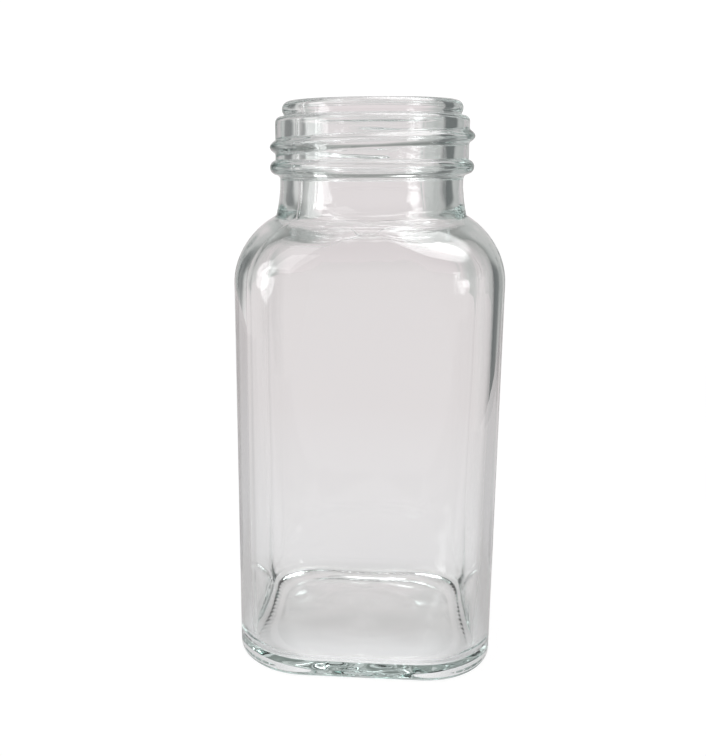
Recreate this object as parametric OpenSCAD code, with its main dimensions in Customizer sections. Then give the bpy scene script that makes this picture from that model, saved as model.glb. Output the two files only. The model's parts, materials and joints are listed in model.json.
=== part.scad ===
/* A square spice jar of clear pressed and blown glass, shown open.
   Millimetres, Z up, the origin in the middle of the face that it stands on.
   The flats face the X and Y axes, and -Y is the front. */

/* [Body] */
// Full height, from the ground to the rim
jar_h = 116; // [108:1:150]
// Width of the square body across its flats
body_w = 54; // [48:0.5:66]
// Radius of the upright corners, seen from above
corner_r = 15; // [9:0.5:19]
// Radius of the edge round the base
heel_r = 2.2; // [1:0.1:4]
// Height of the curved shoulder
shoulder_h = 12.7; // [8:0.1:18]
// Thickness of the side walls
wall_t = 2.2; // [1.6:0.1:3]

/* [Base] */
// Thickness of the glass at the edge of the cavity floor
floor_t = 2.6; // [2:0.1:5]
// Thickness of the glass in the middle of the base
floor_mid_t = 2.6; // [2:0.1:4]
// Radius of the edge round the cavity floor
cavity_heel_r = 3; // [2:0.1:6]
// Radius of the cavity's corners just over its floor, where the glass is thickest
foot_corner_r = 18; // [14:0.5:21]
// Height over which the cavity's corners widen from there to the walls
foot_h = 10; // [6:0.5:16]
// Width of the square hollow under the base
hollow_w = 42; // [34:0.5:44]
// Radius of the hollow's corners
hollow_corner_r = 15; // [9:0.5:17]
// Depth of the hollow under the base
hollow_depth = 2; // [1:0.1:2.6]
// How flat the hollow is: 2 is a dome, and more is flatter with a steeper edge
hollow_flatness = 2.8; // [2:0.1:4]

/* [Neck] */
// Outer diameter of the neck under the transfer bead
neck_d = 37.8; // [37:0.1:38.8]
// Outer diameter of the neck where it meets the shoulder
neck_foot_d = 39.6; // [38.8:0.1:41]
// Height from the shoulder to the middle of the transfer bead
neck_h = 9.7; // [7:0.1:14]
// Thickness of the neck's wall, under the transfer bead
neck_wall_t = 3.8; // [2.6:0.1:4.6]
// Thickness of the glass where the shoulder meets the neck
shoulder_t = 3; // [2.2:0.1:4.6]
// Radius where the throat opens into the cavity
throat_r = 6; // [3:0.1:7]

/* [Screw finish] */
// Diameter over the thread and over the transfer bead
thread_d = 42; // [41.4:0.1:43]
// Diameter of the wall that the thread stands on
thread_wall_d = 39.7; // [39.2:0.1:40.2]
// Height from the middle of the transfer bead to the top of that wall
thread_wall_h = 10.1; // [9.4:0.1:12]
// Rise of the thread in one turn
thread_pitch = 4.233; // [3.8:0.001:4.6]
// Width of the thread where it leaves the wall
thread_w = 2.8; // [2.2:0.1:3.2]
// Height from the middle of the transfer bead to the middle of the thread, at the front
thread_front_h = 5.05; // [4.8:0.05:5.4]
// Turns of the thread, with its two tapered ends
thread_turns = 1.15; // [1:0.01:1.2]
// Radius of the transfer bead's section
bead_r = 1.5; // [1.2:0.1:1.6]
// Radius of the fillet under the transfer bead
bead_fillet_r = 1; // [0.7:0.1:1.4]

/* [Lip] */
// Height of the lip above the thread wall
lip_h = 3; // [2.6:0.1:3.6]
// Outer diameter of the lip
lip_d = 36.9; // [36.6:0.1:37.4]
// Diameter of the groove under the lip
groove_d = 36.2; // [35.8:0.1:36.5]
// Radius of the lip's round outer edge
lip_r = 1.6; // [1.2:0.05:1.8]
// Radius of the rim's inner edge
rim_inner_r = 0.35; // [0.2:0.05:0.4]
// Radius of the top edge of the thread wall
thread_wall_edge_r = 1.2; // [0.8:0.1:1.4]

/* [Hidden] */

// Heights along the axis
lip_z = jar_h - lip_h;
bead_z = lip_z - thread_wall_h;
neck_z = bead_z - neck_h;
shoulder_z = neck_z - shoulder_h;

// Radii and half widths
body_half = body_w / 2;
cavity_half = body_half - wall_t;
cavity_corner_r = corner_r - wall_t;
cavity_flat_half = cavity_half - cavity_heel_r;
hollow_half = hollow_w / 2;
neck_r = neck_d / 2;
neck_foot_r = neck_foot_d / 2;
mouth_r = neck_r - neck_wall_t;
thread_r = thread_d / 2;
thread_wall_r = thread_wall_d / 2;
lip_outer_r = lip_d / 2;
groove_r = groove_d / 2;

// How far a cut runs past a face, and how far turned and lofted solids run into each other
overrun = 1;
lap = 0.1;

// Share of a quarter round that the shoulder's arc covers, so that it meets the neck at a slant
shoulder_arc_share = 0.89;
shoulder_angle = asin(shoulder_arc_share);

// Facets
corner_steps = 14;
heel_steps = 5;
cavity_heel_steps = 5;
foot_steps = 5;
base_steps = 8;
shoulder_steps = 12;
thread_steps = 62;
$fn = 96;

// The cavity floor is a low dome over the hollow
floor_crown = hollow_depth + floor_mid_t - floor_t;
floor_flatness = 2;

// The cavity's shoulder follows the outer one, with glass that thickens towards the neck
cavity_shoulder_h = shoulder_h - shoulder_t * shoulder_arc_share;
throat_foot_r = mouth_r + throat_r * (1 - cos(shoulder_angle));
throat_foot_z = shoulder_z + cavity_shoulder_h;
throat_h = throat_r * sin(shoulder_angle);

// The section of the thread: shares of its depth outwards and of its half width up and down
thread_section_shares = [[0, -1], [0.3, -0.88], [0.7, -0.55], [0.94, -0.25], [1, 0],
                         [0.94, 0.25], [0.7, 0.55], [0.3, 0.88], [0, 1]];
thread_depth = thread_r - thread_wall_r;
thread_root = 0.5;
thread_taper_share = 0.06;
thread_front_angle = 270;

// A level of a loft: its height, half width and corner radius
function level(z, half, corner) = [z, half, corner];

// Points round a level, which circumscribe its corners so that its flats keep their true width
function level_points(l) = [
    for (quarter = [0:3], i = [0:corner_steps - 1])
        let (angle = 90 * (quarter + (i + 0.5) / corner_steps))
        let (side_x = sign(cos(90 * quarter + 45)), side_y = sign(sin(90 * quarter + 45)))
        let (centre = l[1] - l[2], radius = l[2] / cos(45 / corner_steps))
        [side_x * centre + radius * cos(angle), side_y * centre + radius * sin(angle), l[0]]
];

// Levels of a heel: a quarter round from the face at z up to the straight wall
function heel_levels(z, half, corner, radius, steps) = [
    for (i = [0:steps])
        let (angle = 90 * i / steps, inset = radius * (1 - sin(angle)))
        level(z + radius * (1 - cos(angle)), half - inset, corner - inset)
];

// Levels of a shoulder, which turns the rounded square into a circle of the radius end_r
function shoulder_levels(z, h, half, corner, end_r) = [
    for (i = [1:shoulder_steps])
        let (rise = sin(shoulder_angle * i / shoulder_steps), fall = cos(shoulder_angle))
        let (left = (sqrt(1 - rise * rise) - fall) / (1 - fall))
        level(z + h * rise / shoulder_arc_share,
              end_r + (half - end_r) * left, end_r + (corner - end_r) * left)
];

// Levels of the cavity's walls over the heel, whose corners narrow from the foot's radius to the wall's
foot_levels = [
    for (i = [1:foot_steps])
        let (share = i / foot_steps, left = 1 - share * share * (3 - 2 * share))
        level(floor_t + cavity_heel_r + foot_h * share, cavity_half,
              cavity_corner_r + (foot_corner_r - cavity_corner_r) * left)
];

// Levels of a low rise or hollow of that height over z, from its edge to near its middle
function crown_levels(z, h, half, corner, flatness) = [
    for (i = [base_steps:-1:1])
        let (share = i / base_steps, here = half * share)
        level(z + h * (1 - pow(share, flatness)), here, here * (1 - (1 - corner / half) * share))
];
function reversed(list) = [for (i = [len(list) - 1:-1:0]) list[i]];

// Joins neighbouring levels into one closed solid
module loft(levels) {
    count = 4 * corner_steps;
    last = len(levels) - 1;
    points = [for (l = levels) each level_points(l)];
    sides = [
        for (k = [0:last - 1], i = [0:count - 1])
            let (j = (i + 1) % count)
            [k * count + i, (k + 1) * count + i, (k + 1) * count + j, k * count + j]
    ];
    bottom = [for (i = [0:count - 1]) i];
    top = [for (i = [count - 1:-1:0]) last * count + i];
    polyhedron(points, concat([bottom, top], sides), convexity = 6);
}

// Outside of the body, from the ground to the neck
module body_form() {
    loft(concat(
        heel_levels(0, body_half, corner_r, heel_r, heel_steps),
        [level(shoulder_z, body_half, corner_r)],
        shoulder_levels(shoulder_z, shoulder_h, body_half, corner_r, neck_foot_r - lap)
    ));
}

// The cavity, from the middle of its floor out to the walls and up to the throat
module cavity_form() {
    flat_corner_r = foot_corner_r - cavity_heel_r;
    crown = crown_levels(floor_t, floor_crown, cavity_flat_half, flat_corner_r, floor_flatness);
    heel = heel_levels(floor_t, cavity_half, foot_corner_r, cavity_heel_r, cavity_heel_steps);
    loft(concat(
        reversed([for (i = [1:base_steps - 1]) crown[i]]),
        heel,
        foot_levels,
        [level(shoulder_z, cavity_half, cavity_corner_r)],
        shoulder_levels(shoulder_z, cavity_shoulder_h, cavity_half, cavity_corner_r, throat_foot_r - lap)
    ));
}

// The hollow under the base
module hollow_form() {
    loft(concat(
        [level(-overrun, hollow_half, hollow_corner_r)],
        crown_levels(0, hollow_depth, hollow_half, hollow_corner_r, hollow_flatness)
    ));
}

// Half outline of the neck, with its flared foot
module neck_outline() {
    flare_w = neck_foot_r - neck_r;
    flare_h = neck_h - bead_r - bead_fillet_r;
    flare_r = (flare_h * flare_h + flare_w * flare_w) / (2 * flare_w);
    translate([0, neck_z - overrun]) square([neck_r, neck_h + overrun]);
    translate([0, neck_z - overrun]) square([neck_foot_r, overrun]);
    difference() {
        translate([0, neck_z]) square([neck_foot_r, flare_h]);
        translate([neck_r + flare_r, neck_z + flare_h]) circle(flare_r, $fn = 240);
    }
}

// Half outline of the transfer bead and the fillet that leads down from it to the neck
module bead_outline() {
    centre_r = thread_r - bead_r;
    fillet_x = neck_r + bead_fillet_r;
    reach = bead_r + bead_fillet_r;
    fillet_z = bead_z - sqrt(reach * reach - pow(fillet_x - centre_r, 2));
    touch_x = centre_r + (fillet_x - centre_r) * bead_r / reach;
    translate([centre_r, bead_z]) circle(bead_r);
    translate([0, bead_z - bead_r]) square([centre_r, bead_r]);
    difference() {
        translate([0, fillet_z]) square([touch_x, bead_z - fillet_z]);
        translate([fillet_x, fillet_z]) circle(bead_fillet_r);
    }
}

// Half outline of the wall that carries the thread, up to the groove under the lip
module thread_wall_outline() {
    edge = thread_wall_edge_r;
    translate([0, bead_z]) square([thread_wall_r, thread_wall_h - edge]);
    translate([0, bead_z]) square([thread_wall_r - edge, thread_wall_h]);
    translate([thread_wall_r - edge, lip_z - edge]) circle(edge);
}

// Half outline of the lip: a groove, a round outer edge and a flat rim to seal on
module lip_outline() {
    translate([0, lip_z - overrun]) square([groove_r, lip_h + overrun - lip_r]);
    translate([0, lip_z]) square([lip_outer_r - lip_r, lip_h]);
    translate([lip_outer_r - lip_r, jar_h - lip_r]) circle(lip_r);
}

// Neck and screw finish, turned as one solid
module finish_form() {
    rotate_extrude() intersection() {
        union() {
            neck_outline();
            bead_outline();
            thread_wall_outline();
            lip_outline();
        }
        square([body_w, jar_h]);
    }
}

// Throat and mouth, cut with a round edge at the rim and a round opening into the cavity
module mouth_form() {
    rotate_extrude() {
        translate([0, throat_foot_z - overrun]) square([mouth_r, jar_h + overrun - throat_foot_z + overrun]);
        translate([0, throat_foot_z - overrun]) square([throat_foot_r, overrun]);
        difference() {
            translate([0, throat_foot_z]) square([throat_foot_r, throat_h]);
            translate([mouth_r + throat_r, throat_foot_z + throat_h]) circle(throat_r);
        }
        difference() {
            translate([0, jar_h - rim_inner_r]) square([mouth_r + rim_inner_r, rim_inner_r + overrun]);
            translate([mouth_r + rim_inner_r, jar_h - rim_inner_r]) circle(rim_inner_r);
        }
    }
}

// The share of its full depth that the thread has at a share u of its length
function thread_rise(u) = let (t = min(1, u / thread_taper_share, (1 - u) / thread_taper_share))
    t * t * (3 - 2 * t);

// One turn and a little of a right-hand thread, tapered at both ends, with its root in the wall
module thread_form() {
    sides = len(thread_section_shares);
    points = [
        for (k = [0:thread_steps])
            let (u = k / thread_steps, turn = thread_turns * (u - 0.5))
            let (full = thread_root + thread_depth, least = thread_root / 2)
            let (depth = least + (full - least) * thread_rise(u))
            for (s = thread_section_shares)
                let (r = thread_wall_r - thread_root + depth * s[0])
                let (angle = thread_front_angle + 360 * turn)
                let (rise = thread_front_h + thread_pitch * turn + s[1] * thread_w / 2)
                [r * cos(angle), r * sin(angle), bead_z + rise]
    ];
    flanks = [
        for (k = [0:thread_steps - 1], i = [0:sides - 1])
            let (j = (i + 1) % sides)
            [k * sides + i, k * sides + j, (k + 1) * sides + j, (k + 1) * sides + i]
    ];
    start = [for (i = [sides - 1:-1:0]) i];
    end = [for (i = [0:sides - 1]) thread_steps * sides + i];
    polyhedron(points, concat([start, end], flanks), convexity = 6);
}

// The jar: one piece of glass
module glass_jar() {
    color([0.86, 0.89, 0.88, 0.35]) difference() {
        union() {
            body_form();
            finish_form();
            thread_form();
        }
        cavity_form();
        mouth_form();
        hollow_form();
    }
}

glass_jar();
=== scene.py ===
"""A square spice jar of clear glass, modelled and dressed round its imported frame, with a pale studio stage."""
import json
import math
from collections import namedtuple

import bmesh
import bpy
from bpy.props import FloatProperty, FloatVectorProperty, IntProperty, PointerProperty
from mathutils import Matrix, Vector, noise


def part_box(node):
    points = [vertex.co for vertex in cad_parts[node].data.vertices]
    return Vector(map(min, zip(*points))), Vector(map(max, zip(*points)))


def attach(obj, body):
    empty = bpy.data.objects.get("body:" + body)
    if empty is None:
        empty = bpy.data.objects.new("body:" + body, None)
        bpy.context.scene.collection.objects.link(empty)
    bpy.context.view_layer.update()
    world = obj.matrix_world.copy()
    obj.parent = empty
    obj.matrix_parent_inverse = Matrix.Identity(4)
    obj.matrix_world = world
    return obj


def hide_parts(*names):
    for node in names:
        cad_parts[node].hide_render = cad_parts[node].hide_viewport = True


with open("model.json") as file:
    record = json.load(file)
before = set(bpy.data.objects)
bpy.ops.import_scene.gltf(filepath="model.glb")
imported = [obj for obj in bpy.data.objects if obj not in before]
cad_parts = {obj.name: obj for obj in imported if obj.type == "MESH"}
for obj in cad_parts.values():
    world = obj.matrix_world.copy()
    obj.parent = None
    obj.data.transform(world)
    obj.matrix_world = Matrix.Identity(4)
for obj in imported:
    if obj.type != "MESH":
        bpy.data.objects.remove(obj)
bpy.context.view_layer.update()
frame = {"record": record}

bl_info = {
    "name": "Square Spice Jar",
    "version": (1, 0, 0),
    "blender": (4, 5, 0),
    "location": "3D View > Sidebar > Spice Jar",
    "description": "Builds a square spice jar of clear glass and a pale stage for it",
    "category": "Add Mesh",
}

MM = 0.001
JAR = "glass_jar"
LOW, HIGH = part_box(JAR)
MOUNTS = {mount["name"]: mount for mount in frame["record"]["mounts"]}
MOUTH_R = MOUNTS["mouth"]["dims"]["r_mm"] * MM

# A level of the jar's wall: half width of its section, height, corner radius and the zone it belongs to.
# On a round section the corner radius is the half width.
Level = namedtuple("Level", "half z corner zone")
HOLLOW, BEARING, BODY, NECK, RIM, MOUTH, CAVITY, FLOOR = range(8)
COLUMNS_PER_KNURL = 4
# How near two points count as one, how far a ring's points may be out of level, and how near the axis a pole lies
MERGE_GAP = 0.001 * MM
RING_GAP = 0.0001 * MM
POLE_GAP = 0.01 * MM


def length(value, name, description):
    """A size of the jar, in metres."""
    return FloatProperty(name=name, description=description, default=value, unit="LENGTH", precision=5)


def number(value, name, description):
    """A plain number."""
    return FloatProperty(name=name, description=description, default=value, precision=4)


def angle(value, name, description):
    """An angle given in degrees."""
    default = math.radians(value)
    return FloatProperty(name=name, description=description, default=default, subtype="ANGLE")


def colour(value, name, description):
    """A linear colour."""
    return FloatVectorProperty(name=name, description=description, default=value, subtype="COLOR", size=3)


def count(value, name, description):
    """A whole number."""
    return IntProperty(name=name, description=description, default=value, min=1)


class JarSizes(bpy.types.PropertyGroup):
    """Real sizes of the jar, in metres. The overall ones come from the frame."""

    jar_h: length(HIGH.z - LOW.z, "Height", "Full height, from the ground to the rim")
    body_w: length(HIGH.x - LOW.x, "Body width", "Width of the square body across its flats")
    corner_r: length(15 * MM, "Corner radius", "Radius of the upright corners, seen from above")
    heel_r: length(2.2 * MM, "Heel radius", "Radius of the edge round the base")
    shoulder_h: length(12.7 * MM, "Shoulder height", "Height of the curved shoulder")
    wall_t: length(2.2 * MM, "Wall", "Thickness of the side walls")
    shoulder_t: length(3 * MM, "Shoulder wall", "Thickness of the glass where the shoulder meets the neck")
    floor_t: length(2.6 * MM, "Floor", "Thickness of the glass at the edge of the cavity floor")
    cavity_heel_r: length(3 * MM, "Cavity heel", "Radius of the edge round the cavity floor")
    foot_corner_r: length(15 * MM, "Foot corner", "Radius of the cavity's corners, just over its floor")
    foot_h: length(18 * MM, "Foot height", "Height over which the cavity's corners widen to the foot")
    floor_mid_t: length(2.6 * MM, "Middle of the base", "Thickness of the glass in the middle of the base")
    hollow_w: length(42 * MM, "Hollow width", "Width of the square hollow under the base")
    hollow_corner_r: length(15 * MM, "Hollow corner", "Radius of the hollow's corners")
    hollow_flatness: number(2.8, "Hollow flatness", "How flat the hollow is, with a steeper edge")
    hollow_depth: length(1.5 * MM, "Hollow depth", "Depth of the hollow under the base")
    neck_d: length(37.8 * MM, "Neck", "Outer diameter of the neck under the transfer bead")
    neck_foot_d: length(39.6 * MM, "Neck foot", "Outer diameter of the neck at the shoulder")
    neck_h: length(9.7 * MM, "Neck height", "Height from the shoulder to the middle of the bead")
    mouth_d: length(2 * MOUTH_R, "Mouth", "Diameter of the mouth")
    throat_r: length(7.5 * MM, "Throat radius", "Radius where the throat opens into the cavity")
    thread_d: length(42 * MM, "Thread", "Diameter over the thread and over the transfer bead")
    thread_wall_d: length(39.7 * MM, "Thread wall", "Diameter of the wall under the thread")
    thread_wall_h: length(10.1 * MM, "Thread wall height", "Height from the bead's middle to the wall's top")
    thread_pitch: length(4.233 * MM, "Pitch", "Rise of the thread in one turn")
    thread_w: length(2.8 * MM, "Thread width", "Width of the thread where it leaves the wall")
    thread_front_h: length(5.05 * MM, "Thread height", "Height of the thread over the bead, at the front")
    thread_turns: number(1.15, "Turns", "Turns of the thread, with its two tapered ends")
    bead_r: length(1.5 * MM, "Bead radius", "Radius of the transfer bead's section")
    bead_fillet_r: length(1 * MM, "Bead fillet", "Radius of the fillet under the transfer bead")
    lip_h: length(3 * MM, "Lip height", "Height of the lip above the thread wall")
    lip_d: length(36.9 * MM, "Lip", "Outer diameter of the lip")
    groove_d: length(36.2 * MM, "Groove", "Diameter of the groove under the lip")
    lip_r: length(1.6 * MM, "Lip radius", "Radius of the lip's round outer edge")
    rim_inner_r: length(0.35 * MM, "Rim radius", "Radius of the rim's inner edge")
    thread_wall_edge_r: length(1.2 * MM, "Wall edge", "Radius of the top edge of the thread wall")


class GlassFinish(bpy.types.PropertyGroup):
    """What the mould and the hot glass leave on the surface, and the glass itself."""

    seam_height: length(0.11 * MM, "Seam height", "Height of the mould seam on the neck")
    seam_body_height: length(0.05 * MM, "Body seam", "Height of the mould seam on the body")
    seam_width: length(0.3 * MM, "Seam width", "Half the width of the mould seam")
    ripple: length(0.11 * MM, "Ripple", "Unevenness of the blown inner wall")
    shoulder_ripple: length(0.06 * MM, "Shoulder ripple", "Unevenness of the shoulder's inside")
    mouth_ripple: length(0.05 * MM, "Mouth ripple", "Unevenness of the mouth's inside")
    floor_ripple: length(0.22 * MM, "Floor ripple", "Unevenness of the cavity floor")
    skin_ripple: length(0.035 * MM, "Skin ripple", "Unevenness of the moulded outer face")
    knurls: count(88, "Knurls", "Knurls round the bearing ring")
    knurl_depth: length(0.05 * MM, "Knurl depth", "Depth of the hollows between the knurls")
    knurl_width: length(2.4 * MM, "Knurl width", "Width of the knurled band, from the heel inwards")
    soft_rounds: count(5, "Softening", "How often the inside's shape is smoothed, as hot glass smooths it")
    mark_r: length(12 * MM, "Mark radius", "Radius of the ring mark under the base")
    mark_w: length(1.8 * MM, "Mark width", "Half the width of the ring mark under the base")
    mark_depth: length(0.05 * MM, "Mark depth", "Depth of the ring mark under the base")
    ior: number(1.52, "Refraction", "Index of refraction of the glass")
    tint: colour((0.38, 0.62, 0.57), "Tint", "Colour that deep glass takes")
    tint_density: number(11.0, "Tint density", "How fast the tint deepens, for a metre of glass")


class StageLook(bpy.types.PropertyGroup):
    """Camera, floor, backdrop and lamps."""

    camera_distance: length(206.29 * MM, "Distance", "Ground distance of the camera from the jar's axis")
    camera_height: length(105 * MM, "Height", "Height of the camera over the ground")
    camera_turn: angle(1.473, "Turn", "Turn of the camera round the jar")
    camera_yaw: angle(4.172, "Yaw", "How far the camera looks to the left of the jar")
    camera_pitch: angle(14.127, "Pitch", "How far the camera looks down")
    camera_roll: angle(-0.268, "Roll", "Roll of the camera")
    focal_px: number(965.7, "Focal length", "Focal length in pixels of the photograph")
    centre_x_px: number(300.0, "Centre x", "Pixel column that the camera looks at")
    centre_y_px: number(400.0, "Centre y", "Pixel row that the camera looks at")
    white: number(1.06, "White", "Strength of the white background that the camera sees")
    white_share: number(0.9, "White share", "How much of the floor is plain white to the camera")
    glass_share: number(0.8, "Glass share", "Share of the table's plain tone that glass and gloss see; the rest is lit")
    floor_colour: colour((0.8, 0.78, 0.78), "Floor", "Colour of the floor")
    backdrop: colour((0.76, 0.70, 0.71), "Backdrop", "Tone of the pale backdrop behind the jar")
    room: colour((0.86, 0.83, 0.83), "Room", "Tone of the room in front of the jar")
    room_top: colour((0.25, 0.26, 0.25), "Room top", "Tone of the room over the backdrop")
    room_back: colour((0.52, 0.53, 0.52), "Room back", "Tone of the room round the backdrop")
    room_side: colour((0.15, 0.16, 0.16), "Room side", "Tone of the dark room beside the backdrop")
    window: colour((5.5, 5.5, 5.5), "Window", "Brightness of the window at the left")
    skylight: colour((4.8, 4.8, 4.8), "Skylight", "Brightness of the skylight overhead")
    # Painted light: the table's tone is brighter at the jar's front; the tone under the jar is its painted shadow
    table_lit_front: colour((0.97, 0.96, 0.97), "Table foot", "Tone of the table at the jar's front, to glass and gloss")
    table_under: colour((0.75, 0.73, 0.73), "Table under", "Tone of the table in the jar's shade")
    table_near: colour((0.81, 0.79, 0.8), "Table near", "Tone of the table close behind the jar")
    table_far: colour((0.75, 0.7, 0.705), "Table far", "Tone of the table farther back")
    # Painted shade that darkens the table's tone at its sides
    table_side_shade: number(0.7, "Table sides", "Share of the table's tone that is left at its sides")
    table_left: length(-0.4, "Table left", "Left edge of the table")
    table_right: length(0.21, "Table right", "Right edge of the table")
    table_front: length(-1.2, "Table front", "Front edge of the table")
    table_back: length(1.5, "Table back", "Back edge of the table")
    plain_light: number(0.75, "Plain light", "Strength of the room's light on the floor")
    softbox_power: number(4.0, "Softbox", "Power of the softbox, in watts")


def arc(centre, radius, start, end, steps):
    """Points on an arc in the half plane of radius and height, without its first. Angles in degrees."""
    return [
        (
            centre[0] + radius * math.cos(math.radians(start + (end - start) * i / steps)),
            centre[1] + radius * math.sin(math.radians(start + (end - start) * i / steps)),
        )
        for i in range(1, steps + 1)
    ]


def line(start, end, steps):
    """Points on a straight line, without its first."""
    return [
        (start[0] + (end[0] - start[0]) * i / steps, start[1] + (end[1] - start[1]) * i / steps)
        for i in range(1, steps + 1)
    ]


def turned(points, zone):
    """Round levels through the points."""
    return [Level(r, z, r, zone) for r, z in points]


SHOULDER_ARC_SHARE = 0.89


def shoulder(z, h, half, corner, end_r, steps, zone):
    """Levels of a shoulder, which turns the rounded square into a circle of the radius end_r."""
    whole = math.asin(SHOULDER_ARC_SHARE)
    fall = math.cos(whole)
    levels = []
    for i in range(1, steps + 1):
        rise = math.sin(whole * i / steps)
        left = (math.sqrt(1 - rise * rise) - fall) / (1 - fall)
        levels.append(
            Level(end_r + (half - end_r) * left, z + h * rise / SHOULDER_ARC_SHARE,
                  end_r + (corner - end_r) * left, zone)
        )
    return levels


def heel(z, half, corner, radius, steps, zone):
    """Levels of a quarter round, from the face at z up to the straight wall."""
    levels = []
    for i in range(steps + 1):
        a = math.pi / 2 * i / steps
        inset = radius * (1 - math.sin(a))
        levels.append(Level(half - inset, z + radius * (1 - math.cos(a)), corner - inset, zone))
    return levels


def base_levels(s, g):
    """Levels under the base: the hollow with its ring mark, then the ring that the jar stands on."""
    hollow = s.hollow_w / 2
    steps = 34
    levels = []
    for i in range(steps + 1):
        share = i / steps
        half = hollow * share
        corner = half * (1 - (1 - s.hollow_corner_r / hollow) * share ** 3)
        mark = max(0.0, 1 - ((half - g.mark_r) / g.mark_w) ** 2) ** 2
        z = s.hollow_depth * (1 - share ** s.hollow_flatness)
        levels.append(Level(half, z + g.mark_depth * mark, corner, HOLLOW))
    end = s.body_w / 2 - s.heel_r
    end_corner = s.corner_r - s.heel_r
    rings = 9
    for i in range(1, rings):
        t = i / rings
        levels.append(
            Level(hollow + (end - hollow) * t, 0.0, s.hollow_corner_r + (end_corner - s.hollow_corner_r) * t, BEARING)
        )
    return levels


def outer_levels(s, g):
    """Levels of the outside, from the middle of the base to the top of the rim."""
    half, neck_r, foot_r = s.body_w / 2, s.neck_d / 2, s.neck_foot_d / 2
    lip_z = s.jar_h - s.lip_h
    bead_z = lip_z - s.thread_wall_h
    neck_z = bead_z - s.neck_h
    shoulder_z = neck_z - s.shoulder_h
    levels = base_levels(s, g)
    levels += heel(0, half, s.corner_r, s.heel_r, 8, BODY)
    body = line((half, s.heel_r), (half, shoulder_z), 24)
    levels += [Level(half, z, s.corner_r, BODY) for _, z in body]
    levels += shoulder(shoulder_z, s.shoulder_h, half, s.corner_r, foot_r, 18, BODY)
    # The neck's flare, then the fillet up to the transfer bead
    flare_w = foot_r - neck_r
    flare_h = s.neck_h - s.bead_r - s.bead_fillet_r
    flare_r = (flare_h ** 2 + flare_w ** 2) / (2 * flare_w)
    flare_angle = math.degrees(math.asin(flare_h / flare_r))
    bead_x = s.thread_d / 2 - s.bead_r
    fillet_x = neck_r + s.bead_fillet_r
    reach = s.bead_r + s.bead_fillet_r
    fillet_z = bead_z - math.sqrt(reach ** 2 - (fillet_x - bead_x) ** 2)
    touch = math.degrees(math.atan2(bead_z - fillet_z, bead_x - fillet_x))
    wall_r = s.thread_wall_d / 2
    bead_top = math.degrees(math.acos((wall_r - bead_x) / s.bead_r))
    levels += turned(arc((neck_r + flare_r, neck_z + flare_h), flare_r, 180 + flare_angle, 180, 9), NECK)
    levels += turned(line((neck_r, neck_z + flare_h), (neck_r, fillet_z), 1), NECK)
    levels += turned(arc((fillet_x, fillet_z), s.bead_fillet_r, 180, touch, 5), NECK)
    levels += turned(arc((bead_x, bead_z), s.bead_r, touch - 180, bead_top, 12), NECK)
    # The thread wall, its round top edge and the lip
    wall_foot = (wall_r, bead_z + s.bead_r * math.sin(math.radians(bead_top)))
    edge = s.thread_wall_edge_r
    lip_x = s.lip_d / 2 - s.lip_r
    groove_r = s.groove_d / 2
    lip_foot = math.degrees(math.acos((groove_r - lip_x) / s.lip_r))
    levels += turned(line(wall_foot, (wall_r, lip_z - edge), 36), NECK)
    levels += turned(arc((wall_r - edge, lip_z - edge), edge, 0, 90, 6), NECK)
    levels += turned(line((wall_r - edge, lip_z), (groove_r, lip_z), 1), NECK)
    groove_top = s.jar_h - s.lip_r - s.lip_r * math.sin(math.radians(lip_foot))
    levels += turned(line((groove_r, lip_z), (groove_r, groove_top), 2), NECK)
    levels += turned(arc((lip_x, s.jar_h - s.lip_r), s.lip_r, -lip_foot, 90, 12), NECK)
    return levels


def inner_levels(s):
    """Levels of the inside, from the rim down to the middle of the cavity floor."""
    mouth_r = s.mouth_d / 2
    neck_z = s.jar_h - s.lip_h - s.thread_wall_h - s.neck_h
    shoulder_z = neck_z - s.shoulder_h
    half, corner = s.body_w / 2 - s.wall_t, s.corner_r - s.wall_t
    inner_h = s.shoulder_h - s.shoulder_t * SHOULDER_ARC_SHARE
    slant = math.asin(SHOULDER_ARC_SHARE)
    foot_r = mouth_r + s.throat_r * (1 - math.cos(slant))
    foot_z = shoulder_z + inner_h
    throat_z = foot_z + s.throat_r * math.sin(slant)
    rim_x = mouth_r + s.rim_inner_r
    rim_z = s.jar_h - s.rim_inner_r
    levels = turned(line((s.lip_d / 2 - s.lip_r, s.jar_h), (rim_x, s.jar_h), 2), RIM)
    levels += turned(arc((rim_x, rim_z), s.rim_inner_r, 90, 180, 4), RIM)
    levels += turned(line((mouth_r, rim_z), (mouth_r, throat_z), 8), MOUTH)
    opening = arc((mouth_r + s.throat_r, throat_z), s.throat_r, 180, 180 + math.degrees(slant), 8)
    levels += turned(opening, MOUTH)
    cavity = shoulder(shoulder_z, inner_h, half, corner, foot_r, 14, CAVITY)
    levels += cavity[-2::-1]
    levels += [Level(half, shoulder_z, corner, CAVITY)]
    # The walls go down to the round edge of the floor, and their corners widen on the way
    edge_z = s.floor_t + s.cavity_heel_r
    for _, z in line((half, shoulder_z), (half, edge_z), 28):
        spread = max(0.0, 1 - (z - edge_z) / s.foot_h)
        widening = spread * spread * (3 - 2 * spread)
        levels.append(Level(half, z, corner + (s.foot_corner_r - corner) * widening, CAVITY))
    levels += heel(s.floor_t, half, s.foot_corner_r, s.cavity_heel_r, 10, CAVITY)[-2::-1]
    flat, flat_corner = half - s.cavity_heel_r, s.foot_corner_r - s.cavity_heel_r
    crown = s.hollow_depth + s.floor_mid_t - s.floor_t
    rings = 24
    for i in range(1, rings + 1):
        share = 1 - i / rings
        r = flat * share
        ring_corner = r * (1 - (1 - flat_corner / flat) * share)
        levels.append(Level(r, s.floor_t + crown * (1 - share * share), ring_corner, FLOOR))
    return levels


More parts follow.
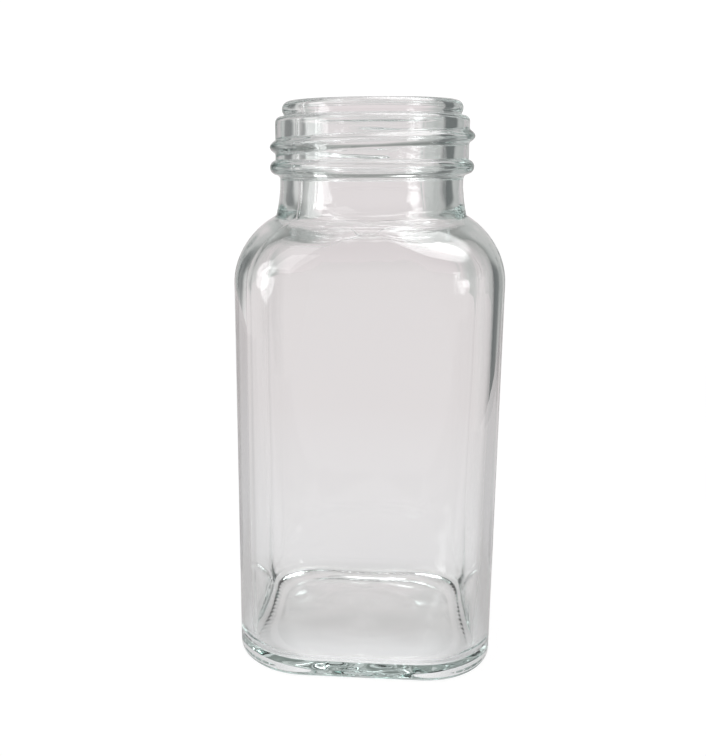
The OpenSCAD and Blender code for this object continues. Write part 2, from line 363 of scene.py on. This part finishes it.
def section_radius(a, half, corner):
    """Distance from the axis to a square of that half width with round corners, at the angle a."""
    a = abs((a + math.pi / 4) % (math.pi / 2) - math.pi / 4)
    centre = half - corner
    if half * math.tan(a) <= centre:
        return half / math.cos(a)
    along = centre * (math.cos(a) + math.sin(a))
    return along + math.sqrt(max(along * along - 2 * centre * centre + corner * corner, 0.0))


def thread_height(s, a, z):
    """How far the thread stands off its wall at the angle a and height z."""
    bead_z = s.jar_h - s.lip_h - s.thread_wall_h
    depth = (s.thread_d - s.thread_wall_d) / 2
    taper_share, flank_power = 0.06, 1.25
    front = -math.pi / 2
    best = 0.0
    for turn_number in (-1, 0, 1):
        turn = (a - front) / (2 * math.pi) + turn_number
        u = turn / s.thread_turns + 0.5
        if not 0 < u < 1:
            continue
        t = min(1.0, u / taper_share, (1 - u) / taper_share)
        middle = bead_z + s.thread_front_h + s.thread_pitch * turn
        off = abs(z - middle) / (s.thread_w / 2)
        if off < 1:
            best = max(best, depth * t * t * (3 - 2 * t) * (1 - off * off) ** flank_power)
    return best


# The length over which each unevenness of the glass changes, and its seed
SKIN_GRAIN = 9 * MM, 3.1
MOUTH_GRAIN = 3 * MM, 4.4
SHOULDER_GRAIN = 4 * MM, 8.8
WALL_GRAIN = 11 * MM, 7.3
WALL_FOOT_GRAIN = 5 * MM, 1.7
FLOOR_GRAIN = 6 * MM, 5.9
# How much a height counts in it, so that the unevenness of the inside is drawn out upwards
MOUTH_DRAW = 0.6
WALL_DRAW = 0.35


def rough(point, scale, seed):
    """Smooth noise from -1 to 1 over the given length."""
    return noise.noise(Vector(point) / scale + Vector((seed, seed * 0.37, -seed * 0.73)))


def seam_height(s, g, a, r, z):
    """How far the mould seam stands out; it runs up two opposite corners."""
    off = abs((a - math.pi / 4 + math.pi / 2) % math.pi - math.pi / 2) * r / g.seam_width
    if off >= 1:
        return 0.0
    neck_z = s.jar_h - s.lip_h - s.thread_wall_h - s.neck_h
    height = g.seam_height if z > neck_z else g.seam_body_height
    return height * (1 - off * off) ** 2


def column_angles(s, columns):
    """Angles that space the columns evenly along the ring that the jar stands on."""
    half = (s.hollow_w + s.body_w - 2 * s.heel_r) / 4
    corner = (s.hollow_corner_r + s.corner_r - s.heel_r) / 2
    steps = 8 * columns
    fine = [2 * math.pi * i / steps for i in range(steps + 1)]
    ways = [0.0]
    for a, b in zip(fine, fine[1:]):
        r, end = section_radius(a, half, corner), section_radius(b, half, corner)
        ways.append(ways[-1] + math.hypot(r * (b - a), end - r))
    angles = []
    at = 0
    for i in range(columns):
        way = ways[-1] * i / columns
        while ways[at + 1] < way:
            at += 1
        angles.append(fine[at] + (fine[at + 1] - fine[at]) * (way - ways[at]) / (ways[at + 1] - ways[at]))
    return angles


def spin_levels(levels, knurls):
    """Spins the levels round the axis, and keeps on each vertex the half width, corner and zone of its level."""
    bm = bmesh.new()
    layers = bm.verts.layers
    half_layer, corner_layer, zone_layer = (
        layers.float.new("half"), layers.float.new("corner"), layers.int.new("zone"))
    verts = []
    for level in levels:
        vert = bm.verts.new((level.half, 0, level.z))
        vert[half_layer], vert[corner_layer], vert[zone_layer] = level.half, level.corner, level.zone
        verts.append(vert)
    edges = [bm.edges.new(pair) for pair in zip(verts, verts[1:])]
    bmesh.ops.spin(
        bm, geom=verts + edges, cent=(0, 0, 0), axis=(0, 0, 1), dvec=(0, 0, 0),
        angle=2 * math.pi, steps=knurls, use_merge=True, use_normal_flip=False, use_duplicate=False,
    )
    bmesh.ops.remove_doubles(bm, verts=bm.verts, dist=MERGE_GAP)
    rings = [
        edge for edge in bm.edges
        if abs(edge.verts[0][half_layer] - edge.verts[1][half_layer]) < RING_GAP
        and abs(edge.verts[0].co.z - edge.verts[1].co.z) < RING_GAP
    ]
    bmesh.ops.subdivide_edges(bm, edges=rings, cuts=COLUMNS_PER_KNURL - 1, use_grid_fill=True)
    bmesh.ops.recalc_face_normals(bm, faces=bm.faces)
    return bm


def shape_glass(bm, s, g):
    """Moves the spun vertices to the rounded square, the thread, the seam and the marks of the mould."""
    layers = bm.verts.layers
    half_layer, corner_layer, zone_layer = (
        layers.float["half"], layers.float["corner"], layers.int["zone"])
    columns = g.knurls * COLUMNS_PER_KNURL
    angles = column_angles(s, columns)
    ways = [(math.cos(a), math.sin(a)) for a in angles]
    foot = s.body_w / 2 - s.heel_r
    shoulder_middle = s.jar_h - s.lip_h - s.thread_wall_h - s.neck_h - s.shoulder_h / 2
    for vert in bm.verts:
        half, corner, zone = vert[half_layer], vert[corner_layer], vert[zone_layer]
        if half < POLE_GAP:
            continue
        column = round(math.atan2(vert.co.y, vert.co.x) * columns / (2 * math.pi)) % columns
        a, (cos_a, sin_a), z = angles[column], ways[column], vert.co.z
        r = half if corner == half else section_radius(a, half, corner)
        place = (half * cos_a, half * sin_a, z)
        if zone == NECK:
            r += thread_height(s, a, z)
        if zone in (BODY, NECK) and z > s.heel_r:
            # The seam stays within the square that the body's flats lie on
            seam = seam_height(s, g, a, r, z)
            r += min(seam, max(section_radius(a, s.body_w / 2, 0) - r, 0)) if seam else 0
        if zone == BODY:
            # The moulded skin only falls back, so the jar never grows past its width
            r -= g.skin_ripple * (0.5 + 0.5 * rough(place, *SKIN_GRAIN)) * min(1, z / s.heel_r)
        if zone == MOUTH:
            below_rim = min(1.0, (s.jar_h - z) / s.lip_h)
            r += g.mouth_ripple * below_rim * rough((place[0], place[1], z * MOUTH_DRAW), *MOUTH_GRAIN)
        if zone in (CAVITY, MOUTH):
            in_shoulder = min(1.0, max(0.0, 1 - abs(z - shoulder_middle) / s.shoulder_h))
            r += g.shoulder_ripple * in_shoulder * rough(place, *SHOULDER_GRAIN)
        if zone == CAVITY:
            near_floor = max(0.0, 1 - (z - s.floor_t) / (3 * s.cavity_heel_r))
            wall = g.ripple * rough((place[0], place[1], z * WALL_DRAW), *WALL_GRAIN)
            r += wall + g.floor_ripple * near_floor * rough(place, *WALL_FOOT_GRAIN)
        if zone == FLOOR:
            z += g.floor_ripple * rough(place, *FLOOR_GRAIN)
        if zone == BEARING:
            band = max(0.0, 1 - abs(half - foot + g.knurl_width / 2) / (g.knurl_width / 2)) ** 0.5
            z += g.knurl_depth * band * (0.5 - 0.5 * math.cos(2 * math.pi * column / COLUMNS_PER_KNURL))
        vert.co = (r * cos_a, r * sin_a, z)


def soften(levels, zones, rounds):
    """Rounds off the levels of those zones the way hot glass does, with their ends left in place."""
    levels = list(levels)
    inside = [i for i in range(1, len(levels) - 1) if levels[i].zone in zones and levels[i + 1].zone in zones]
    for _ in range(rounds):
        old = list(levels)
        for i in inside:
            mean = [(a + 2 * b + c) / 4 for a, b, c in zip(old[i - 1][:3], old[i][:3], old[i + 1][:3])]
            levels[i] = Level(*mean, old[i].zone)
    return levels


def to_piece(bm, name, material):
    """Puts a bmesh into the scene as a smooth piece that rides on the jar's body."""
    mesh = bpy.data.meshes.new(name)
    for face in bm.faces:
        face.smooth = True
    bm.to_mesh(mesh)
    bm.free()
    mesh.materials.append(material)
    piece = bpy.data.objects.new(name, mesh)
    bpy.context.scene.collection.objects.link(piece)
    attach(piece, "root")
    return piece


def clear_glass(g):
    """Clear soda-lime glass: a faint green that deepens with its thickness, and a slightly rippled skin."""
    material = bpy.data.materials.new("clear_glass")
    material.use_nodes = True
    nodes, links = material.node_tree.nodes, material.node_tree.links
    shader = nodes["Principled BSDF"]
    shader.inputs["Base Color"].default_value = (1, 1, 1, 1)
    shader.inputs["Transmission Weight"].default_value = 1.0
    shader.inputs["IOR"].default_value = g.ior
    shader.inputs["Metallic"].default_value = 0.0
    place = nodes.new("ShaderNodeTexCoord")
    smear = nodes.new("ShaderNodeTexNoise")
    smear.inputs["Scale"].default_value = 60.0
    smear.inputs["Detail"].default_value = 3.0
    haze = nodes.new("ShaderNodeMapRange")
    haze.inputs["From Min"].default_value = 0.45
    haze.inputs["From Max"].default_value = 0.8
    haze.inputs["To Min"].default_value = 0.0
    haze.inputs["To Max"].default_value = 0.05
    ripple = nodes.new("ShaderNodeTexNoise")
    ripple.inputs["Scale"].default_value = 180.0
    ripple.inputs["Detail"].default_value = 2.0
    bump = nodes.new("ShaderNodeBump")
    bump.inputs["Strength"].default_value = 0.35
    bump.inputs["Distance"].default_value = 0.02 * MM
    depth = nodes.new("ShaderNodeVolumeAbsorption")
    depth.inputs["Color"].default_value = (*g.tint, 1)
    depth.inputs["Density"].default_value = g.tint_density
    links.new(place.outputs["Object"], smear.inputs["Vector"])
    links.new(place.outputs["Object"], ripple.inputs["Vector"])
    links.new(smear.outputs["Fac"], haze.inputs["Value"])
    links.new(haze.outputs["Result"], shader.inputs["Roughness"])
    links.new(ripple.outputs["Fac"], bump.inputs["Height"])
    links.new(bump.outputs["Normal"], shader.inputs["Normal"])
    links.new(depth.outputs["Volume"], nodes["Material Output"].inputs["Volume"])
    return material


def sky_patch(tree, under, azimuth, elevation, wide, high, tone, soft):
    """Lays a soft-edged patch of one tone over the room, centred that way and that many degrees wide and high."""
    a, e = math.radians(azimuth), math.radians(elevation)
    place = tree.nodes.new("ShaderNodeTexCoord")
    away = tree.nodes.new("ShaderNodeVectorMath")
    away.operation = "SUBTRACT"
    away.inputs[1].default_value = (math.cos(a) * math.cos(e), math.sin(a) * math.cos(e), math.sin(e))
    scaled = tree.nodes.new("ShaderNodeVectorMath")
    scaled.operation = "MULTIPLY"
    across, up = 1 / math.radians(wide / 2), 1 / math.radians(high / 2)
    scaled.inputs[1].default_value = (across, across, up)
    distance = tree.nodes.new("ShaderNodeVectorMath")
    distance.operation = "LENGTH"
    edge = tree.nodes.new("ShaderNodeMapRange")
    edge.interpolation_type = "SMOOTHSTEP"
    edge.inputs["From Min"].default_value = 1 + soft
    edge.inputs["From Max"].default_value = 1 - soft
    mix = tree.nodes.new("ShaderNodeMix")
    mix.data_type = "RGBA"
    mix.inputs["B"].default_value = (*tone, 1)
    tree.links.new(place.outputs["Generated"], away.inputs[0])
    tree.links.new(away.outputs["Vector"], scaled.inputs[0])
    tree.links.new(scaled.outputs["Vector"], distance.inputs[0])
    tree.links.new(distance.outputs["Value"], edge.inputs["Value"])
    tree.links.new(edge.outputs["Result"], mix.inputs["Factor"])
    tree.links.new(under, mix.inputs["A"])
    return mix.outputs["Result"]


def either(tree, first, second):
    """The sum of two of Light Path's outputs."""
    total = tree.nodes.new("ShaderNodeMath")
    total.operation = "ADD"
    total.use_clamp = True
    tree.links.new(first, total.inputs[0])
    tree.links.new(second, total.inputs[1])
    return total.outputs["Value"]


def studio_world(look):
    """The room: white to the camera, the real room to glass and gloss, and plain light to the rest."""
    world = bpy.data.worlds.new("studio")
    bpy.context.scene.world = world
    world.use_nodes = True
    tree = world.node_tree
    nodes, links = tree.nodes, tree.links
    nodes.clear()
    room = nodes.new("ShaderNodeRGB")
    room.outputs["Color"].default_value = (*look.room, 1)
    tone = room.outputs["Color"]
    # Where each patch's middle lies, its width and height, all in degrees, its tone and the softness of its edge
    for azimuth, elevation, wide, high, patch, soft in (
        (90, 56, 170, 90, look.room_top, 0.2),
        (92, 4, 110, 46, look.room_back, 0.3),
        (128, 8, 24, 34, look.room_side, 0.4),
        (31, 0, 48, 60, look.room_side, 0.25),
        (92, -4, 26, 64, look.backdrop, 0.25),
        (33, 68, 45, 45, look.skylight, 0.15),
        (327, 9, 12, 15, look.window, 0.4),
        (199, 8, 24, 27, look.window, 0.15),
        (189, 29, 18, 34, look.window, 0.3),
    ):
        tone = sky_patch(tree, tone, azimuth, elevation, wide, high, patch, soft)
    path = nodes.new("ShaderNodeLightPath")
    glass_ray = either(tree, path.outputs["Is Glossy Ray"], path.outputs["Is Transmission Ray"])
    shown = nodes.new("ShaderNodeMix")
    shown.data_type = "RGBA"
    shown.inputs["A"].default_value = (look.plain_light, look.plain_light, look.plain_light, 1)
    seen = nodes.new("ShaderNodeMix")
    seen.data_type = "RGBA"
    seen.inputs["B"].default_value = (look.white, look.white, look.white, 1)
    light = nodes.new("ShaderNodeBackground")
    out = nodes.new("ShaderNodeOutputWorld")
    links.new(glass_ray, shown.inputs["Factor"])
    links.new(tone, shown.inputs["B"])
    links.new(path.outputs["Is Camera Ray"], seen.inputs["Factor"])
    links.new(shown.outputs["Result"], seen.inputs["A"])
    links.new(seen.outputs["Result"], light.inputs["Color"])
    links.new(light.outputs["Background"], out.inputs["Surface"])


# Painted shade: the table darkens to its sides, by how far a place lies beside the jar over how far it lies behind this
# point
SIDE_POINT = 60 * MM
SIDE_START, SIDE_END = 0.33, 0.48


def pale_floor(look):
    """A floor that keeps a soft shadow, nearly white to the camera and with the table's tones, painted light and shade
    among them, to glass and gloss.
    """
    material = bpy.data.materials.new("pale_floor")
    material.use_nodes = True
    tree = material.node_tree
    nodes, links = tree.nodes, tree.links
    nodes.clear()
    path = nodes.new("ShaderNodeLightPath")
    glass_ray = either(tree, path.outputs["Is Glossy Ray"], path.outputs["Is Transmission Ray"])
    place = nodes.new("ShaderNodeTexCoord")
    axes = nodes.new("ShaderNodeSeparateXYZ")
    # Millimetres behind the jar's axis and the table's tone there. The tone is painted light at the jar's front, a
    # painted shadow of the jar under it, and lighter close behind the jar than farther back
    near, *middle, far = (
        (-15, look.table_lit_front),
        (-5, look.table_under),
        (20, look.table_under),
        (35, look.table_near),
        (45, look.table_near),
        (200, look.table_far),
    )
    away = nodes.new("ShaderNodeMapRange")
    away.inputs["From Min"].default_value = near[0] * MM
    away.inputs["From Max"].default_value = far[0] * MM
    tone = nodes.new("ShaderNodeValToRGB")
    stops = tone.color_ramp.elements
    stops[0].color = (*near[1], 1)
    stops[1].color = (*far[1], 1)
    for place_y, shade in middle:
        stops.new((place_y - near[0]) / (far[0] - near[0])).color = (*shade, 1)
    beside = nodes.new("ShaderNodeMath")
    beside.operation = "ABSOLUTE"
    behind = nodes.new("ShaderNodeMath")
    behind.inputs[1].default_value = SIDE_POINT
    slope = nodes.new("ShaderNodeMath")
    slope.operation = "DIVIDE"
    # The painted shade at the table's sides
    dusk = nodes.new("ShaderNodeMapRange")
    dusk.inputs["From Min"].default_value = SIDE_START
    dusk.inputs["From Max"].default_value = SIDE_END
    dusk.inputs["To Min"].default_value = 1.0
    dusk.inputs["To Max"].default_value = look.table_side_shade
    shaded = nodes.new("ShaderNodeVectorMath")
    shaded.operation = "SCALE"
    glow_colour = nodes.new("ShaderNodeMix")
    glow_colour.data_type = "RGBA"
    glow_colour.inputs["B"].default_value = (look.white, look.white, look.white, 1)
    glow = nodes.new("ShaderNodeEmission")
    paint = nodes.new("ShaderNodeBsdfDiffuse")
    paint.inputs["Color"].default_value = (*look.floor_colour, 1)
    share = nodes.new("ShaderNodeMath")
    share.operation = "MULTIPLY"
    share.inputs[1].default_value = look.glass_share
    whole = nodes.new("ShaderNodeMath")
    whole.operation = "MULTIPLY_ADD"
    whole.inputs[1].default_value = look.white_share
    mix = nodes.new("ShaderNodeMixShader")
    out = nodes.new("ShaderNodeOutputMaterial")
    links.new(place.outputs["Object"], axes.inputs["Vector"])
    links.new(axes.outputs["Y"], away.inputs["Value"])
    links.new(away.outputs["Result"], tone.inputs["Fac"])
    links.new(axes.outputs["X"], beside.inputs[0])
    links.new(axes.outputs["Y"], behind.inputs[0])
    links.new(beside.outputs["Value"], slope.inputs[0])
    links.new(behind.outputs["Value"], slope.inputs[1])
    links.new(slope.outputs["Value"], dusk.inputs["Value"])
    links.new(tone.outputs["Color"], shaded.inputs[0])
    links.new(dusk.outputs["Result"], shaded.inputs["Scale"])
    links.new(shaded.outputs["Vector"], glow_colour.inputs["A"])
    links.new(path.outputs["Is Camera Ray"], glow_colour.inputs["Factor"])
    links.new(glow_colour.outputs["Result"], glow.inputs["Color"])
    links.new(glass_ray, share.inputs[0])
    links.new(path.outputs["Is Camera Ray"], whole.inputs[0])
    links.new(share.outputs["Value"], whole.inputs[2])
    links.new(whole.outputs["Value"], mix.inputs["Fac"])
    links.new(paint.outputs["BSDF"], mix.inputs[1])
    links.new(glow.outputs["Emission"], mix.inputs[2])
    links.new(mix.outputs["Shader"], out.inputs["Surface"])
    return material


def floor_plane(look):
    """The table that the jar stands on."""
    bm = bmesh.new()
    bmesh.ops.create_grid(bm, x_segments=1, y_segments=1, size=1)
    width, depth = look.table_right - look.table_left, look.table_back - look.table_front
    bmesh.ops.scale(bm, vec=(width / 2, depth / 2, 1), verts=bm.verts)
    middle = ((look.table_right + look.table_left) / 2, (look.table_back + look.table_front) / 2, 0)
    bmesh.ops.translate(bm, vec=middle, verts=bm.verts)
    mesh = bpy.data.meshes.new("floor")
    bm.to_mesh(mesh)
    bm.free()
    mesh.materials.append(pale_floor(look))
    floor = bpy.data.objects.new("floor", mesh)
    bpy.context.scene.collection.objects.link(floor)


# In metres: where the softbox stands, where it points and how large it is
SOFTBOX_PLACE = (-0.7, -0.5, 1.1)
SOFTBOX_TARGET = (0, 0, 0.06)
SOFTBOX_SIZE = (0.9, 0.9)


def area_lamp(name, place, target, size, power):
    """A soft square lamp at a place, turned to a target."""
    data = bpy.data.lights.new(name, "AREA")
    data.shape = "RECTANGLE"
    data.size, data.size_y = size
    data.energy = power
    lamp = bpy.data.objects.new(name, data)
    bpy.context.scene.collection.objects.link(lamp)
    way = Vector(target) - Vector(place)
    lamp.matrix_world = Matrix.Translation(place) @ way.to_track_quat("-Z", "Y").to_matrix().to_4x4()
    return lamp


PHOTO_W, PHOTO_H = 706, 756


def photo_camera(look):
    """The camera that took the photograph, found from the jar's outline in it and from the lines of its thread."""
    data = bpy.data.cameras.new("photo_camera")
    data.sensor_width = 36.0
    data.lens = look.focal_px * data.sensor_width / PHOTO_H
    data.shift_x = (PHOTO_W / 2 - look.centre_x_px) / PHOTO_H
    data.shift_y = (look.centre_y_px - PHOTO_H / 2) / PHOTO_H
    data.clip_start = 0.01
    data.dof.use_dof = False
    camera = bpy.data.objects.new("photo_camera", data)
    bpy.context.scene.collection.objects.link(camera)
    aim = (
        Matrix.Rotation(look.camera_turn, 4, "Z")
        @ Matrix.Translation((0, -look.camera_distance, look.camera_height))
        @ Matrix.Rotation(look.camera_yaw, 4, "Z")
        @ Matrix.Rotation(math.pi / 2 - look.camera_pitch, 4, "X")
        @ Matrix.Rotation(look.camera_roll, 4, "Z")
    )
    camera.matrix_world = aim
    bpy.context.scene.camera = camera


# Light crosses the base of the jar many times before it leaves the glass
GLASS_BOUNCES, GLOSS_BOUNCES = 32, 20


class SPICEJAR_OT_glass(bpy.types.Operator):
    """Build the jar's glass, with its thread, seam and marks, in place of the plain CAD solid"""

    bl_idname = "spice_jar.glass"
    bl_label = "Build Jar Glass"

    def execute(self, context):
        sizes, finish = context.scene.spice_jar_sizes, context.scene.spice_jar_finish
        inside = soften(inner_levels(sizes), (MOUTH, CAVITY, FLOOR), finish.soft_rounds)
        bm = spin_levels(outer_levels(sizes, finish) + inside, finish.knurls)
        shape_glass(bm, sizes, finish)
        piece = to_piece(bm, "jar_glass", clear_glass(finish))
        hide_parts(JAR)
        return {"FINISHED"}


class SPICEJAR_OT_stage(bpy.types.Operator):
    """Set the pale floor, the backdrop, the lamps and the camera"""

    bl_idname = "spice_jar.stage"
    bl_label = "Set Stage"

    def execute(self, context):
        look = context.scene.spice_jar_stage
        studio_world(look)
        floor_plane(look)
        area_lamp("softbox", SOFTBOX_PLACE, SOFTBOX_TARGET, SOFTBOX_SIZE, look.softbox_power)
        photo_camera(look)
        paths = context.scene.cycles
        paths.max_bounces = paths.transmission_bounces = GLASS_BOUNCES
        paths.glossy_bounces = GLOSS_BOUNCES
        context.scene.view_settings.view_transform = "Standard"
        return {"FINISHED"}


class SPICEJAR_PT_panel(bpy.types.Panel):
    """Sizes, finish and stage of the spice jar"""

    bl_idname = "SPICEJAR_PT_panel"
    bl_label = "Spice Jar"
    bl_space_type = "VIEW_3D"
    bl_region_type = "UI"
    bl_category = "Spice Jar"

    def draw(self, context):
        layout = self.layout
        for operator, name, group in (
            ("spice_jar.glass", "Sizes", context.scene.spice_jar_sizes),
            ("spice_jar.glass", "Finish", context.scene.spice_jar_finish),
            ("spice_jar.stage", "Stage", context.scene.spice_jar_stage),
        ):
            box = layout.box()
            box.label(text=name)
            for key in group.__annotations__:
                box.prop(group, key)
            box.operator(operator)


CLASSES = (JarSizes, GlassFinish, StageLook, SPICEJAR_OT_glass, SPICEJAR_OT_stage, SPICEJAR_PT_panel)


def register():
    for cls in CLASSES:
        bpy.utils.register_class(cls)
    bpy.types.Scene.spice_jar_sizes = PointerProperty(type=JarSizes)
    bpy.types.Scene.spice_jar_finish = PointerProperty(type=GlassFinish)
    bpy.types.Scene.spice_jar_stage = PointerProperty(type=StageLook)


def unregister():
    del bpy.types.Scene.spice_jar_stage
    del bpy.types.Scene.spice_jar_finish
    del bpy.types.Scene.spice_jar_sizes
    for cls in reversed(CLASSES):
        bpy.utils.unregister_class(cls)


def main():
    """Builds the jar and its stage."""
    register()
    bpy.ops.spice_jar.glass()
    bpy.ops.spice_jar.stage()


if __name__ == "__main__":
    main()
